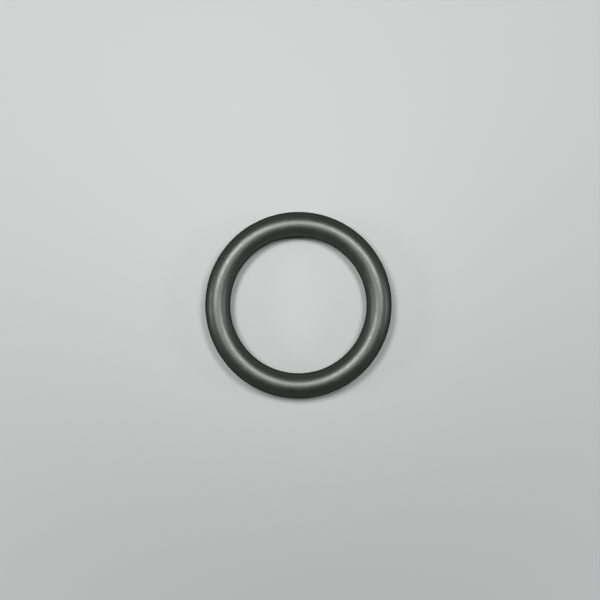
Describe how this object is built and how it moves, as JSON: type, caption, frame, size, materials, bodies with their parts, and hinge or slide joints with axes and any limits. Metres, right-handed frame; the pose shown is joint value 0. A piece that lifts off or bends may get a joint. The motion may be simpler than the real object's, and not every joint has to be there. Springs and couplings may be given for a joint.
{
  "type": "o-ring oil seal",
  "caption": "Moulded black rubber O-ring of round section, an oil seal that sits in a groove between a shaft or plug and its housing.",
  "frame": {"origin": "centre of the ring, on its axis and halfway up the section, in the plane of the parting line", "axes": "+Z along the ring's axis, so the ring lies flat in the XY plane; it is the same all round, and the same both ways up"},
  "size_m": [0.03, 0.03, 0.004],
  "materials": {
    "rubber": "satin, as moulded"
  },
  "bodies": {
    "root": {"seal_ring": "rubber"}
  },
  "joints": []
}
